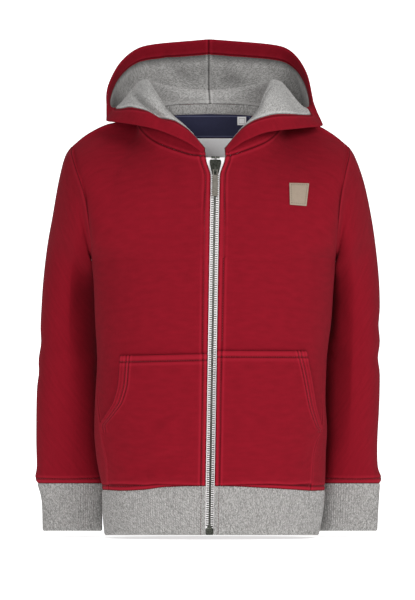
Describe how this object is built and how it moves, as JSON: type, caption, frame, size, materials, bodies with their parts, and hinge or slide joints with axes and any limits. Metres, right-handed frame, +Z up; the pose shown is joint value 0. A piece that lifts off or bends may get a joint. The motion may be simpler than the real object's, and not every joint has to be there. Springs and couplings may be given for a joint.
{
  "type": "kids hoodie",
  "caption": "Child's long-sleeved zip hoodie, filled out and hollow, hood down with a contrast lining, two front pockets, ribbed cuffs and hem.",
  "frame": {"origin": "between the shoulders, at the height where the shoulder seams meet the neck, midway between front and back of the shoulder seams", "axes": "+Z up, along the wearer's trunk; -Y out of the front, where the zip is; +X towards the wearer's left"},
  "size_m": [0.4156, 0.2515, 0.5957],
  "materials": {
    "red_sweatshirt": "matte brushed sweatshirt cloth, deep red",
    "grey_jersey": "matte grey melange jersey",
    "grey_rib": "matte grey melange rib knit",
    "navy_label": "woven satin, navy",
    "white_label": "woven satin, white",
    "pale_patch": "woven patch, pale beige",
    "white_tape": "woven zip tape, white",
    "dark_metal": "dark gunmetal",
    "pull_metal": "satin grey metal"
  },
  "bodies": {
    "garment": {"front_right": "red_sweatshirt", "front_left": "red_sweatshirt", "back": "red_sweatshirt", "sleeve_right": "red_sweatshirt", "sleeve_left": "red_sweatshirt", "pocket_right": "red_sweatshirt", "pocket_left": "red_sweatshirt", "hood_outer_right": "red_sweatshirt", "hood_outer_left": "red_sweatshirt", "hood_facing_right": "red_sweatshirt", "hood_facing_left": "red_sweatshirt", "hood_lining_right": "grey_jersey", "hood_lining_left": "grey_jersey", "neck_tape": "grey_jersey", "cuff_right": "grey_rib", "cuff_left": "grey_rib", "hem_band": "grey_rib", "neck_label": "navy_label", "care_label": "white_label", "size_tag": "white_label", "chest_patch": "pale_patch", "zip_tape_right": "white_tape", "zip_tape_left": "white_tape", "zip_chain": "dark_metal", "zip_slider": "dark_metal", "zip_box": "dark_metal"},
    "pull_tab": {"zip_pull": "pull_metal"}
  },
  "joints": [
    {"name": "pull_hinge", "type": "hinge", "parent": "garment", "child": "pull_tab", "pos_m": [0.00633, -0.08323, -0.06002], "axis": [-0.9999, 0.0049, 0.0147], "range_deg": [0, 120]}
  ]
}
